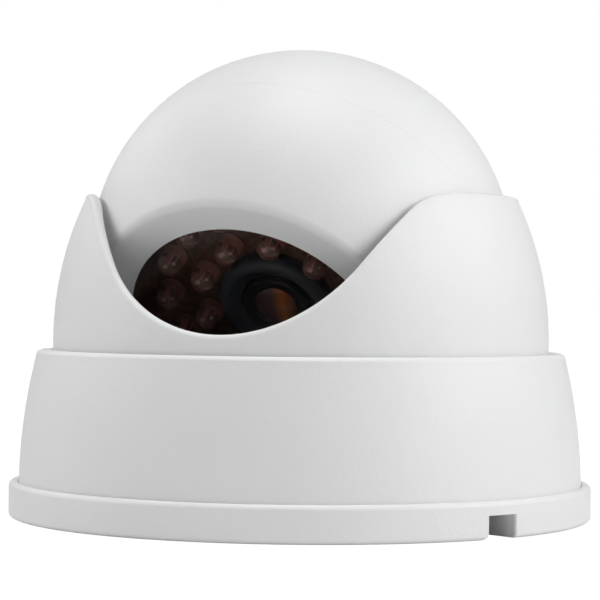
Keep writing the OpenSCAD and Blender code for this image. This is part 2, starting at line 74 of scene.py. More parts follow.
# ---- Mounting plate ----
PLATE_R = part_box("mounting_plate")[1].x / MM
RIM_H = 7.2
RIM_T = 1.9
RIM_EDGE = 1.0
RIM_INNER_EDGE = 0.3
FOOT_EDGE = 0.9
FLOOR_T = 2.4
FLOOR_FILLET = 0.4
UNDERSIDE_RINGS = (0.3, 0.5, 0.7, 0.85, 0.95)    # shares of the plate's radius
CENTRE_HOLE_R = 8.0
CENTRE_HOLE_EDGE = 0.2
DRUM_R = (46.6, 49.0)
DRUM_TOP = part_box("mounting_plate")[1].z / MM
DRUM_FILLET = 0.3
FIXING_R, FIXING_CIRCLE = 2.25, 40.0
HOOK_ANGLES = (0, TURN / 3, 2 * TURN / 3)
HOOK_HALF = math.radians(6)
HOOK_R, HOOK_TIP_R = (51.0, 52.9), (52.4, 55.0)
HOOK_TIP_Z = (7.0, 9.0)
POST_R = 2.4
BOARD_SCREWS_AT, BOARD_SCREW_POST_H = (13.5, 36.0), 2.0    # x either side, and y
CLAMP_SCREWS_AT, CLAMP_SCREW_POST_H = (7.4, 33.0), 4.0     # either side of the lead, and along it

# ---- Slot and channel for the lead ----
LEAD_AZIMUTH = math.radians(57.4)
LEAD_W, LEAD_H, LEAD_IN = 7.0, 4.6, 40.0
LEAD_WALL = 1.2
LEAD_WALL_IN_RIM = 0.2
LEAD_FOOT_R = (1.5, 0.4)    # left and right corner
LEAD_SIDE_R = 0.8
LEAD_PLAY = 0.2
SLOT_OVERLAP = 0.05    # of the two cuts that make the slot

# ---- Housing: arcs are (centre from the axis, centre's height, radius) ----
HOUSING_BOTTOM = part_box("base_housing")[0].z / MM
HOUSING_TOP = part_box("base_housing")[1].z / MM
HOUSING_ARC = (-59.0, 5.0, 117.0)
HOUSING_WALL = 2.4
HOUSING_EDGE = 1.3
LEDGE_R = 53.0
COLLAR_HOLE_R = 51.6
COLLAR_HOLE_EDGE = 0.35
SLEEVE_BOTTOM = 27.6
TAB_R, TAB_Z, TAB_HALF = (53.3, 56.5), (4.4, 6.6), math.radians(8)
PAN_STOP = ((-2, -55, 20.1), (2, -50.4, 24.3))

# ---- Collar ----
COLLAR_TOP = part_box("collar_shell")[1].z / MM
COLLAR_ARC = (-17.5, 36.0, 68.7)
COLLAR_WALL = 2.0
RIM_ROUND = 1.0
NECK_R = 51.2
NECK_BORE_R = 44.8
NECK_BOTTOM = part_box("collar_shell")[0].z / MM
NECK_TOP = NECK_BOTTOM + 7
NECK_FLANGE_TOP = 30.4
RING_SCREWS, RING_SCREW_CIRCLE = 4, 48.9
RING_HOLE_R, RING_HOLE_DEPTH = 0.85, 4.0
SWIVEL_STOP_ANGLE = math.radians(19.5)
SWIVEL_STOP_R, SWIVEL_STOP_HALF, SWIVEL_STOP_H = (45.6, 49.4), 1.5, 3.5
NOTCH_BOTTOM = 37.9
NOTCH_R = 30.8
NOTCH_SLOPE = math.radians(56)
SHOULDER_R = 8.0

# ---- Ball, in its own frame ----
BALL_R = 43.9
BALL_WALL = 2.4
FLAT_X, FLAT_ROOM, FLAT_HALF = 42.0, 5.0, 20.0
MOUTH_R = 34.3
MOUTH_ROUND = 2.2
CONE_RINGS = (3.0, 0.5)     # distances outside the opening
OPEN_R, OPEN_Z = 27.3, 26.2
OPEN_EDGE, OPEN_EDGE_DROP = 0.35, 0.2
WINDOW_R = 29.6
WINDOW_Z = (24.0, 25.6)
WINDOW_EDGE = 0.25
WINDOW_PLAY = 0.3
WINDOW_POCKET_R, WINDOW_POCKET_Z = WINDOW_R + 1.9, WINDOW_Z[0] - 0.6
SHELL_INNER_TOP = WINDOW_Z[0] + 1
SPIGOT_R = (40.2, 41.2)
SPIGOT_Z = (-10.28, 3.0)
SPIGOT_EDGE = 0.3
REAR_INNER_DEG = -14.4
POLE_DEG = -89
BOSS_R, BOSS_IN = 8.0, 35.5
BOSS_PLAY, BOSS_ROOM = 0.3, 5.5
BUSH_R, BUSH_REACH = 3.25, (34.0, 44.0)
WIRE_HOLE_ANGLE = math.radians(120)
WIRE_HOLE_R, WIRE_HOLE_REACH = 6.0, (30.0, 50.0)
SEAM_GAP = 0.01
SEAM_EDGE = 0.05
SEAM_LAND = 0.25
SEAM_DEG = 0.17

# ---- Lamps, from their board up ----
BOARD_TOP = 13.0
BOARD_POSTS, BOARD_POST_CIRCLE, BOARD_POST_H = 3, 32.8, 11.5
LAMP_Z = BOARD_TOP + FACE_GAP
LAMP_TURN = 0.3
LAMP_SPIN, LAMP_LEAN = 0.12, 0.02     # the most that a lamp is off, in radians
LAMP_R, LAMP_FLANGE_R, LAMP_FLANGE_T, LAMP_H = 2.5, 2.9, 1.0, 5.8
LAMP_FILLET, LAMP_FLANGE_EDGE = 0.1, 0.15
INNER_RING = (16.0, 10, math.radians(43))     # radius, count, first angle
OUTER_RING = (23.5, 16, math.radians(150))
SENSOR_PLACE = 5
FRAME_BOTTOM = 0.3
LAMP_BASE_R, LAMP_BASE_Z = 2.42, (0.25, 0.35)
ANVIL_X, ANVIL_HALF, ANVIL_TOP = -0.65, (0.25, 0.15), 3.3    # half its size in x and y
CUP_R, CUP_TOP = (0.25, 0.45), 3.7                    # radii at the bottom and the top
PIN_X, PIN_HALF, PIN_TOP = 1.15, 0.1, 3.8
CUP_TIP_R, CUP_TIP_Z = (0.33, 0.22), (3.72, 3.9)      # the same, here and below
PIN_TIP_R, PIN_TIP_Z = (0.28, 0.18), (3.82, 4.0)

# ---- Lens and the ring round it ----
SHROUD_R, SHROUD_BORE_R = 12.4, 7.7
SHROUD_SIDE_TOP, SHROUD_ROUND, SHROUD_LIP = 14.8, 2.0, 0.3
SHROUD_DISH = (0.5, 0.2)    # out and up from the bore's edge
BARREL_R, BARREL_BORE_R, BARREL_BOTTOM = 6.0, 3.9, -1.0
HEAD_R, HEAD_BOTTOM, HEAD_TOP, HEAD_EDGE = 7.2, 11.0, 16.0, 0.25
RIDGES, RIDGE_BOTTOM, RIDGE_PITCH, RIDGE_DEPTH = 7, 11.3, 0.6, 0.18
RIDGE_CORNERS = (0.0, 0.1, 0.4, 0.5)    # heights in one ridge
STEPS, STEP_R, STEP_IN, STEP_DOWN = 5, 6.6, 0.32, 0.16
GLASS_SEAT_R, GLASS_SEAT_Z = 4.7, (13.5, 14.9)
GLASS_R, GLASS_BACK = 4.65, 13.55
GLASS_CURVE_R, GLASS_CURVE_Z = 9.8, 6.5
LENS_X = (-6.0, 3.2)        # where the painted reflection's tint starts and ends

# ---- Camera, stage and lights, in metres and watts ----
CAMERA_AZIMUTH = math.radians(17.9)
CAMERA_DISTANCE = 0.4758
CAMERA_HEIGHT = 0.04456
CAMERA_LENS, CAMERA_SENSOR = 137.4, 36    # millimetres
CAMERA_CLIP = (0.01, 100)
CAMERA_ROLL = 0.0091
CAMERA_YAW = 0.0006
FLOOR_R = 9
FLOOR_DROP = 0.0001
FLOOR_GLOW = 1.14
FLOOR_SEEN = 0.9
WORLD_LIGHT = 0.06
LIGHT_DISTANCE = 1.2
LIGHT_TARGET = Vector((0, 0, 0.05))
LIGHTS = (    # name, azimuth and elevation in degrees, width, power
    ("top", 0, 85, 0.8, 7.7),
    ("right", 100, 30, 0.8, 6.0),
    ("front_right", 72, 18, 0.5, 3.7),
    ("front_left", -66, 24, 0.7, 4.8),
    ("left", -110, 35, 0.8, 2.9),
    ("low_left", -8, 2, 0.12, 0.5),
    ("low_right", 44, 7, 0.12, 0.5),
)


def joint(name):
    """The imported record's joint of that name."""
    return next(j for j in frame["joints"] if j["name"] == name)


def ball_matrix():
    """Places a piece drawn in the ball's own frame: +Z is where it looks, +X its tilt axis."""
    look = Vector(joint("lens_focus")["axis"]).normalized()
    side = -Vector(joint("ball_tilt")["axis"]).normalized()
    up = look.cross(side)
    m = Matrix((side, up, look)).transposed().to_4x4()
    m.translation = Vector(joint("ball_tilt")["pos_m"]) / MM
    return m


BALL = ball_matrix()


# ---- Mesh helpers ----
def arc(cx, cy, r, start, end, steps):
    """Points on an arc, angles in degrees."""
    angles = [math.radians(start + (end - start) * i / steps) for i in range(steps + 1)]
    return [(cx + r * math.cos(a), cy + r * math.sin(a)) for a in angles]


def arc_x(curve, z, inset=0.0):
    """How far an arc (cx, cz, r) stands from the axis at height z."""
    cx, cz, r = curve
    return cx + math.sqrt((r - inset) ** 2 - (z - cz) ** 2)


def arc_deg(curve, z, inset=0.0):
    """Angle in degrees at which the arc stands at height z."""
    return math.degrees(math.asin((z - curve[1]) / (curve[2] - inset)))


def mesh_object(name, bm, matrix=None):
    """Turns a bmesh in millimetres into an object in metres, with outward normals."""
    if matrix is not None:
        bmesh.ops.transform(bm, matrix=matrix, verts=bm.verts)
    bmesh.ops.scale(bm, vec=(MM, MM, MM), verts=bm.verts)
    bmesh.ops.recalc_face_normals(bm, faces=bm.faces)
    mesh = bpy.data.meshes.new(name)
    bm.to_mesh(mesh)
    bm.free()
    obj = bpy.data.objects.new(name, mesh)
    bpy.context.scene.collection.objects.link(obj)
    return obj


def add_revolved(bm, profile, segments, closed=True):
    """Adds a profile of (radius, height) points turned about Z, and returns its vertices.
    A profile that isn't closed starts and ends on the axis."""
    rings = []
    for r, z in profile:
        if r < 1e-6:
            rings.append([bm.verts.new((0, 0, z))])
            continue
        rings.append([bm.verts.new((r * math.cos(TURN * k / segments),
                                    r * math.sin(TURN * k / segments), z))
                      for k in range(segments)])
    for a, b in zip(rings, rings[1:] + (rings[:1] if closed else [])):
        for k in range(segments):
            n = (k + 1) % segments
            quad = [a[k % len(a)], a[n % len(a)], b[n % len(b)], b[k % len(b)]]
            bm.faces.new(list(dict.fromkeys(quad)))
    return [v for ring in rings for v in ring]


def revolved(name, profile, segments=288, matrix=None, closed=True):
    """An object of revolution."""
    bm = bmesh.new()
    add_revolved(bm, profile, segments, closed)
    return mesh_object(name, bm, matrix)


def add_box(bm, low, high, matrix=None):
    """Adds a box between two corners."""
    size = [h - l for l, h in zip(low, high)]
    middle = [(h + l) / 2 for l, h in zip(low, high)]
    place = Matrix.Translation(middle) @ Matrix.Diagonal((*size, 1))
    bmesh.ops.create_cube(bm, size=1, matrix=matrix @ place if matrix else place)


def add_cylinder(bm, r, low, high, matrix=None, segments=48, r_top=None):
    """Adds a cylinder or cone along Z between two heights."""
    place = Matrix.Translation((0, 0, (low + high) / 2))
    bmesh.ops.create_cone(bm, cap_ends=True, segments=segments, radius1=r,
                          radius2=r if r_top is None else r_top, depth=high - low,
                          matrix=matrix @ place if matrix else place)


def azimuth(angle, r=0.0):
    """Places a piece at an azimuth: 0 is -Y, growing towards +X."""
    return Matrix.Rotation(angle, 4, "Z") @ Matrix.Translation((0, -r, 0))


def add_sector(bm, r, z, half, middle, steps=10):
    """Adds part of a ring between two radii and two heights."""
    rows = []
    for i in range(steps + 1):
        a = middle - half + 2 * half * i / steps
        s, c = math.sin(a), -math.cos(a)
        rows.append([bm.verts.new((p * s, p * c, q))
                     for p, q in ((r[0], z[0]), (r[1], z[0]), (r[1], z[1]), (r[0], z[1]))])
    for a, b in zip(rows, rows[1:]):
        for k in range(4):
            n = (k + 1) % 4
            bm.faces.new((a[k], a[n], b[n], b[k]))
    bm.faces.new(rows[0])
    bm.faces.new(rows[-1])


def combine(obj, build, operation):
    """Applies a boolean to obj, with a temporary object that build(bm) draws."""
    bm = bmesh.new()
    build(bm)
    other = mesh_object("tool", bm)
    step = obj.modifiers.new("combine", "BOOLEAN")
    step.operation = operation
    step.object = other
    step.solver = "EXACT"
    bpy.context.view_layer.update()
    graph = bpy.context.evaluated_depsgraph_get()
    result = bpy.data.meshes.new_from_object(obj.evaluated_get(graph))
    obj.modifiers.clear()
    obj.data = result
    bpy.data.objects.remove(other)


def cut(obj, build):
    """Cuts what build(bm) draws out of obj."""
    combine(obj, build, "DIFFERENCE")


def add(obj, build):
    """Joins what build(bm) draws to obj."""
    combine(obj, build, "UNION")


def finish_piece(obj, material, body, nodes=()):
    """Smooth shading with crisp edges, material, body, slot and the CAD nodes it stands for."""
    mesh = obj.data
    mesh.materials.clear()
    mesh.materials.append(MATERIALS[material])
    mesh.polygons.foreach_set("use_smooth", [True] * len(mesh.polygons))
    mesh.set_sharp_from_angle(angle=math.radians(SHARP_DEG))
    obj.modifiers.new("weighted", "WEIGHTED_NORMAL").keep_sharp = True
    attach(obj, body)
    if nodes:
        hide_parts(*nodes)
    return obj


# ---- Material helpers ----
class Material:
    """A node material with short calls for what the surfaces here need."""

    def __init__(self, name):
        self.material = bpy.data.materials.new(name)
        self.material.use_nodes = True
        self.tree = self.material.node_tree
        self.tree.nodes.clear()
        self.output = self.node("ShaderNodeOutputMaterial")
        self.coordinates = self.node("ShaderNodeTexCoord").outputs["Object"]

    def node(self, kind, **values):
        n = self.tree.nodes.new(kind)
        for key, value in values.items():
            if hasattr(n, key):
                setattr(n, key, value)
            else:
                n.inputs[key.replace("_", " ")].default_value = value
        return n

    def link(self, a, b):
        self.tree.links.new(a, b)

    def principled(self, **values):
        n = self.node("ShaderNodeBsdfPrincipled")
        for key, value in values.items():
            n.inputs[key.replace("_", " ")].default_value = value
        self.link(n.outputs["BSDF"], self.output.inputs["Surface"])
        return n

    def noise(self, scale, detail=4.0, roughness=0.55):
        n = self.node("ShaderNodeTexNoise", Scale=scale, Detail=detail, Roughness=roughness)
        self.link(self.coordinates, n.inputs["Vector"])
        return n.outputs["Fac"]

    def ramp(self, factor, stops):
        n = self.node("ShaderNodeValToRGB")
        n.color_ramp.elements[0].position, n.color_ramp.elements[0].color = stops[0]
        n.color_ramp.elements[1].position, n.color_ramp.elements[1].color = stops[-1]
        for position, color in stops[1:-1]:
            n.color_ramp.elements.new(position).color = color
        self.link(factor, n.inputs["Fac"])
        return n.outputs["Color"]

    def span(self, factor, low, high):
        n = self.node("ShaderNodeMapRange")
        n.inputs["To Min"].default_value = low
        n.inputs["To Max"].default_value = high
        self.link(factor, n.inputs["Value"])
        return n.outputs["Result"]

    def bump(self, shader, height, strength, distance, below=None):
        n = self.node("ShaderNodeBump", Strength=strength, Distance=distance)
        self.link(height, n.inputs["Height"])
        if below is not None:
            self.link(below, n.inputs["Normal"])
        self.link(n.outputs["Normal"], shader.inputs["Normal"])
        return n.outputs["Normal"]


def white_abs(name):
    """Satin white moulded plastic: fine spark-eroded grain, faint flow variation."""
    m = Material(name)
    s = m.principled(IOR=1.5)
    tone = m.noise(38, 3)
    m.link(m.ramp(tone, [(0.35, (0.782, 0.784, 0.786, 1)), (0.65, (0.798, 0.800, 0.802, 1))]),
           s.inputs["Base Color"])
    m.link(m.span(m.noise(260, 3), 0.46, 0.56), s.inputs["Roughness"])
    soft = m.bump(s, m.noise(420, 2), 0.2, 0.00005)
    m.bump(s, m.noise(1700, 3, 0.7), 0.9, 0.00005, soft)
    return m.material


def grained(name, color, shade, rough, scales, bump, **shader):
    """A material whose tone, roughness and relief vary a little, each at a noise scale of its
    own. The tone runs from shade times the colour to the colour."""
    m = Material(name)
    s = m.principled(**shader)
    low = (*[v * shade for v in color], 1)
    tone, gloss, relief = scales
    m.link(m.ramp(m.noise(*tone), [(0.3, low), (0.7, (*color, 1))]), s.inputs["Base Color"])
    m.link(m.span(m.noise(*gloss), *rough), s.inputs["Roughness"])
    m.bump(s, m.noise(*relief), *bump)
    return m.material


def matt_plastic(name, color=(0.020, 0.020, 0.022), rough=(0.38, 0.52)):
    """Moulded plastic with a fine matt grain."""
    scales = ((90, 4), (600, 3), (3000, 2, 0.7))
    return grained(name, color, 0.8, rough, scales, (0.25, 0.00003), IOR=1.49)


def nylon(name, color):
    """Plain nylon and other even, satin surfaces."""
    scales = ((120, 3), (500, 3), (1800, 2))
    return grained(name, color, 0.94, (0.42, 0.58), scales, (0.2, 0.00003), IOR=1.53)


def metal(name, color):
    """Plated or turned metal with fine tool marks."""
    scales = ((400, 5), (900, 4), (2500, 3))
    return grained(name, color, 0.86, (0.2, 0.34), scales, (0.15, 0.00002), Metallic=1.0)


def board(name, mask, track):
    """Circuit board: solder mask over tracks that show as a slightly raised, lighter net."""
    m = Material(name)
    s = m.principled(IOR=1.5, Coat_Weight=0.4, Coat_Roughness=0.12)
    cells = m.node("ShaderNodeTexVoronoi", feature="DISTANCE_TO_EDGE", Scale=420.0)
    m.link(m.coordinates, cells.inputs["Vector"])
    lines = m.ramp(cells.outputs["Distance"], [(0.03, (1, 1, 1, 1)), (0.05, (0, 0, 0, 1))])
    mix = m.node("ShaderNodeMix", data_type="RGBA")
    m.link(lines, mix.inputs["Factor"])
    mix.inputs["A"].default_value = (*mask, 1)
    mix.inputs["B"].default_value = (*track, 1)
    m.link(mix.outputs["Result"], s.inputs["Base Color"])
    m.link(m.span(m.noise(300, 3), 0.3, 0.42), s.inputs["Roughness"])
    m.bump(s, lines, 0.25, 0.00004)
    return m.material


def pane(name, tint):
    """Thin clear sheet: tinted see-through, with a mirror share that grows at grazing angles."""
    m = Material(name)
    clear = m.node("ShaderNodeBsdfTransparent")
    clear.inputs["Color"].default_value = (*tint, 1)
    mirror = m.node("ShaderNodeBsdfGlossy", Roughness=0.04)
    mirror.inputs["Color"].default_value = (1, 1, 1, 1)
    facing = m.node("ShaderNodeLayerWeight", Blend=0.5)
    shares = ((0.0, 0.02), (0.6, 0.025), (0.8, 0.06), (1.0, 0.6))
    share = m.ramp(facing.outputs["Facing"], [(at, (v, v, v, 1)) for at, v in shares])
    mix = m.node("ShaderNodeMixShader")
    m.link(share, mix.inputs["Fac"])
    m.link(clear.outputs["BSDF"], mix.inputs[1])
    m.link(mirror.outputs["BSDF"], mix.inputs[2])
    m.link(mix.outputs["Shader"], m.output.inputs["Surface"])
    m.bump(mirror, m.noise(70, 2), 0.05, 0.0002)
    return m.material


def epoxy(name):
    """Lamp epoxy, faintly brown and a little cloudy, with tiny flow ripples."""
    m = Material(name)
    s = m.principled(IOR=1.5, Transmission_Weight=0.82, Roughness=0.0, Specular_IOR_Level=1.0)
    m.link(m.ramp(m.noise(150, 2), [(0.3, (0.78, 0.52, 0.45, 1)), (0.7, (0.88, 0.64, 0.57, 1))]),
           s.inputs["Base Color"])
    m.bump(s, m.noise(500, 2), 0.06, 0.00005)
    return m.material


def lens_painted_reflection(name):
    """Coated glass with a painted reflection: its colour runs from plum on one side to an amber glow on the other,
    standing in for the light that the coating and the inner elements reflect.
    """
    m = Material(name)
    s = m.principled(IOR=1.6, Roughness=0.12, Coat_Weight=1.0, Coat_Roughness=0.03)
    across = m.node("ShaderNodeSeparateXYZ")
    m.link(m.coordinates, across.inputs["Vector"])
    place = m.node("ShaderNodeMapRange")
    place.inputs["From Min"].default_value = LENS_X[0] * MM
    place.inputs["From Max"].default_value = LENS_X[1] * MM
    m.link(across.outputs["X"], place.inputs["Value"])
    # painted reflection: the coating's plum and the amber glow from inside the lens, laid across the glass
    reflection_tints = [(0.0, (0.09, 0.045, 0.045, 1)), (0.45, (0.15, 0.08, 0.085, 1)),
             (0.7, (0.58, 0.17, 0.025, 1)), (1.0, (0.10, 0.035, 0.02, 1))]
    m.link(m.ramp(place.outputs["Result"], reflection_tints), s.inputs["Base Color"])
    return m.material


def photocell(name):
    """Orange meander of a light sensor under a clear coat."""
    m = Material(name)
    s = m.principled(Coat_Weight=0.8, Coat_Roughness=0.05, Roughness=0.4)
    wave = m.node("ShaderNodeTexWave", Scale=900.0, Distortion=0.4)
    m.link(m.coordinates, wave.inputs["Vector"])
    m.link(m.ramp(wave.outputs["Fac"], [(0.45, (0.5, 0.12, 0.03, 1)), (0.55, (0.75, 0.62, 0.4, 1))]),
           s.inputs["Base Color"])
    return m.material


MATERIALS = {name: make(name, *values) for name, make, *values in (
    ("white_abs", white_abs),
    ("black_plastic", matt_plastic),
    # black plastic lifted and tinted blue-grey: a painted bluish sheen on the ring's dished top
    ("shroud", matt_plastic, (0.060, 0.074, 0.092), (0.34, 0.44)),
    ("grey_nylon", nylon, (0.42, 0.43, 0.45)),
    ("steel", metal, (0.62, 0.63, 0.65)),
    ("lamp_inside", matt_plastic, (0.62, 0.29, 0.22)),
    # near-white ends of the lead frames: painted glints, in place of light reflected off shiny metal
    ("lamp_tip", nylon, (0.97, 0.97, 0.97)),
    ("brass", metal, (0.78, 0.6, 0.3)),
    ("rubber", matt_plastic, (0.028, 0.027, 0.026), (0.6, 0.75)),
    ("green_board", board, (0.01, 0.09, 0.035), (0.03, 0.2, 0.08)),
    ("black_board", board, (0.13, 0.07, 0.048), (0.19, 0.11, 0.085)),
    ("chip", matt_plastic, (0.030, 0.030, 0.032), (0.5, 0.62)),
    ("socket", nylon, (0.82, 0.78, 0.66)),
    ("smoked_window", pane, (0.95, 0.92, 0.91)),
    ("clear_epoxy", epoxy),
    ("lens_glass", lens_painted_reflection),
    ("photocell", photocell),
    ("filter_glass", pane, (0.7, 0.92, 0.95)),
)}


# ---- Outer shells ----
def plate_profile():
    """Section of the plate, with rings on its underside that keep the faces there even."""
    rim_in = PLATE_R - RIM_T
    return (
        [(CENTRE_HOLE_R, CENTRE_HOLE_EDGE), (CENTRE_HOLE_R + CENTRE_HOLE_EDGE, 0)]
        + [(PLATE_R * k, 0) for k in UNDERSIDE_RINGS]
        + arc(PLATE_R - FOOT_EDGE, FOOT_EDGE, FOOT_EDGE, -90, 0, 7)
        + arc(PLATE_R - RIM_EDGE, RIM_H - RIM_EDGE, RIM_EDGE, 0, 90, 8)[:-1]
        + arc(rim_in + RIM_INNER_EDGE, RIM_H - RIM_INNER_EDGE, RIM_INNER_EDGE, 90, 180, 4)
        + [(rim_in, FLOOR_T + FLOOR_FILLET), (rim_in - FLOOR_FILLET, FLOOR_T),
           (DRUM_R[1] + DRUM_FILLET, FLOOR_T), (DRUM_R[1], FLOOR_T + DRUM_FILLET),
           (DRUM_R[1], DRUM_TOP), (DRUM_R[0], DRUM_TOP), (DRUM_R[0], FLOOR_T),
           (CENTRE_HOLE_R, FLOOR_T)])


def hooks(bm):
    """The three uprights that the housing twists onto."""
    for a in HOOK_ANGLES:
        add_sector(bm, HOOK_R, (FLOOR_T - ROOT, HOOK_TIP_Z[1]), HOOK_HALF, a)


def hook_tips(bm):
    """Tips of the hooks, which reach over the tabs of the housing."""
    for a in HOOK_ANGLES:
        add_sector(bm, HOOK_TIP_R, HOOK_TIP_Z, HOOK_HALF, a)


def floor_posts(bm):
    """Screw posts for the base board and for the lead's clamp."""
    for side in (-1, 1):
        x, y = BOARD_SCREWS_AT
        place = Matrix.Translation((side * x, y, 0))
        add_cylinder(bm, POST_R, FLOOR_T - ROOT, FLOOR_T + BOARD_SCREW_POST_H, place)
        x, r = CLAMP_SCREWS_AT
        place = azimuth(LEAD_AZIMUTH, r) @ Matrix.Translation((side * x, 0, 0))
        add_cylinder(bm, POST_R, FLOOR_T - ROOT, FLOOR_T + CLAMP_SCREW_POST_H, place)


def fixing_holes(bm):
    for a in HOOK_ANGLES:
        add_cylinder(bm, FIXING_R, -THROUGH, FLOOR_T + THROUGH, azimuth(a, FIXING_CIRCLE))


def lead_walls(bm):
    """Walls of the lead's channel, from the rim to the drum."""
    y = (-(PLATE_R - RIM_T) - LEAD_WALL_IN_RIM, -DRUM_R[1] + ROOT)
    for side in (-1, 1):
        x = sorted((side * LEAD_W / 2, side * (LEAD_W / 2 + LEAD_WALL)))
        add_box(bm, (x[0], y[0], FLOOR_T - ROOT), (x[1], y[1], LEAD_H), azimuth(LEAD_AZIMUTH))


def make_plate():
    """Mounting plate: tray with a rounded rim, lead slot, fixing holes, drum and hooks."""
    plate = revolved("plate", plate_profile())
    for extra in (hooks, hook_tips, floor_posts, lead_walls):
        add(plate, extra)
    for opening in (fixing_holes, lead_slot, slot_side_edge):
        cut(plate, opening)
    return finish_piece(plate, "white_abs", "base", ["mounting_plate"])


def add_prism(bm, outline, low, high, matrix):
    """Adds an outline of (x, y) points, extruded along Z between two heights."""
    rows = [[bm.verts.new((x, y, z)) for x, y in outline] for z in (low, high)]
    for k in range(len(outline)):
        n = (k + 1) % len(outline)
        bm.faces.new((rows[0][k], rows[0][n], rows[1][n], rows[1][k]))
    bm.faces.new(rows[0])
    bm.faces.new(rows[1])
    bmesh.ops.transform(bm, matrix=matrix, verts=rows[0] + rows[1])


def lead_slot(bm):
    """The slot that the lead leaves by, its lower corners rounded into the plate's underside."""
    half = LEAD_W / 2
    left, right = LEAD_FOOT_R
    outline = ([(-half, LEAD_H)] + arc(-half - left, left, left, 0, -90, 8)
               + [(-half - left, -THROUGH), (half + right, -THROUGH)]
               + arc(half + right, right, right, 270, 180, 5) + [(half, LEAD_H)])
    upright = azimuth(LEAD_AZIMUTH) @ Matrix.Rotation(math.pi / 2, 4, "X")
    add_prism(bm, outline, LEAD_IN, PLATE_R + THROUGH, upright)


def slot_side_edge(bm):
    """Rounds the upright edge where the slot's far side meets the rim."""
    x, r = LEAD_W / 2, LEAD_SIDE_R
    outline = ([(x - SLOT_OVERLAP, -PLATE_R + r)] + arc(x + r, -PLATE_R + r, r, 180, 270, 8)
               + [(x + r, -PLATE_R - THROUGH), (x - SLOT_OVERLAP, -PLATE_R - THROUGH)])
    add_prism(bm, outline, -THROUGH, LEAD_H, azimuth(LEAD_AZIMUTH))


def housing_slot(bm):
    """Room in the housing's foot for the lead's channel."""
    half = LEAD_W / 2 + LEAD_WALL + LEAD_PLAY
    add_box(bm, (-half, -PLATE_R - THROUGH, HOUSING_BOTTOM - THROUGH),
            (half, -LEAD_IN, LEAD_H + LEAD_PLAY), azimuth(LEAD_AZIMUTH))


def housing_tabs(bm):
    """Tabs that catch the plate's hooks, and the stop for the collar's pan."""
    for a in HOOK_ANGLES:
        add_sector(bm, TAB_R, TAB_Z, TAB_HALF, a)
    add_box(bm, *PAN_STOP)


def make_housing():
    """Housing: the curved side, the ledge round the collar, and the sleeve it turns in."""
    top_z = HOUSING_TOP - HOUSING_EDGE
    lean = arc_deg(HOUSING_ARC, top_z)
    edge_x = arc_x(HOUSING_ARC, top_z) - HOUSING_EDGE * math.cos(math.radians(lean))
    cx, cz, r = HOUSING_ARC
    hole_x, hole_z = COLLAR_HOLE_R + COLLAR_HOLE_EDGE, HOUSING_TOP - COLLAR_HOLE_EDGE
    profile = (
        arc(cx, cz, r, arc_deg(HOUSING_ARC, HOUSING_BOTTOM), lean, 28)
        + arc(edge_x, top_z, HOUSING_EDGE, lean, 90, 8)[1:]
        + [(LEDGE_R, HOUSING_TOP)]
        + arc(hole_x, hole_z, COLLAR_HOLE_EDGE, 90, 180, 4)
        + [(COLLAR_HOLE_R, SLEEVE_BOTTOM)]
        + arc(cx, cz, r - HOUSING_WALL, arc_deg(HOUSING_ARC, SLEEVE_BOTTOM, HOUSING_WALL),
              arc_deg(HOUSING_ARC, HOUSING_BOTTOM, HOUSING_WALL), 16))
    housing = revolved("housing", profile)
    add(housing, housing_tabs)
    cut(housing, housing_slot)
    return finish_piece(housing, "white_abs", "base", ["base_housing"])


def notch_half_width(z):
    """Half the notch's width at height z, seen from the front."""
    side_x = NOTCH_R * math.sin(NOTCH_SLOPE)
    side_z = NOTCH_BOTTOM + NOTCH_R * (1 - math.cos(NOTCH_SLOPE))
    shoulder_z = COLLAR_TOP - SHOULDER_R
    high_z = shoulder_z + SHOULDER_R * math.cos(NOTCH_SLOPE)
    high_x = side_x + (high_z - side_z) / math.tan(NOTCH_SLOPE)
    if z <= side_z:
        return math.sqrt(max(0.0, NOTCH_R ** 2 - (NOTCH_BOTTOM + NOTCH_R - z) ** 2))
    if z <= high_z:
        return side_x + (z - side_z) / math.tan(NOTCH_SLOPE)
    centre_x = high_x + SHOULDER_R * math.sin(NOTCH_SLOPE)
    return centre_x - math.sqrt(max(0.0, SHOULDER_R ** 2 - (z - shoulder_z) ** 2))


def rim_height(angle):
    """Height of the collar's edge at an angle from the notch's middle."""
    side = abs(math.sin(angle))
    if math.cos(angle) <= 0 or arc_x(COLLAR_ARC, COLLAR_TOP) * side >= notch_half_width(COLLAR_TOP):
        return COLLAR_TOP
    low, high = NOTCH_BOTTOM, COLLAR_TOP
    for _ in range(40):
        z = (low + high) / 2
        if notch_half_width(z) < arc_x(COLLAR_ARC, z) * side:
            low = z
        else:
            high = z
    return (low + high) / 2


def collar_wall(low, high, steps, inset=0.0):
    """Points up the collar's wall between two heights."""
    heights = [low + (high - low) * i / steps for i in range(steps + 1)]
    return [(arc_x(COLLAR_ARC, z, inset), z) for z in heights]


def collar_section(z_top, stretch, wall_steps=18, round_steps=10):
    """Section where the edge stands at z_top. Where the edge climbs, its rounding is
    stretched upwards, so that it stays as round across the edge as it is elsewhere."""
    fall = RIM_ROUND * stretch
    z_edge = z_top - fall
    outer = collar_wall(NECK_TOP, z_edge, wall_steps)
    inner = collar_wall(NECK_FLANGE_TOP, z_edge, wall_steps, COLLAR_WALL)
    turns = [math.pi / 2 * i / round_steps for i in range(1, round_steps + 1)]
    over = [(RIM_ROUND * (1 - math.cos(a)), z_edge + fall * math.sin(a)) for a in turns]
    cap = ([(outer[-1][0] - x, z) for x, z in over[:-1]]
           + [(inner[-1][0] + x, z) for x, z in reversed(over)])
    return ([(NECK_BORE_R, NECK_BOTTOM), (NECK_R, NECK_BOTTOM)] + outer + cap + inner[::-1]
            + [(NECK_BORE_R, NECK_FLANGE_TOP)])


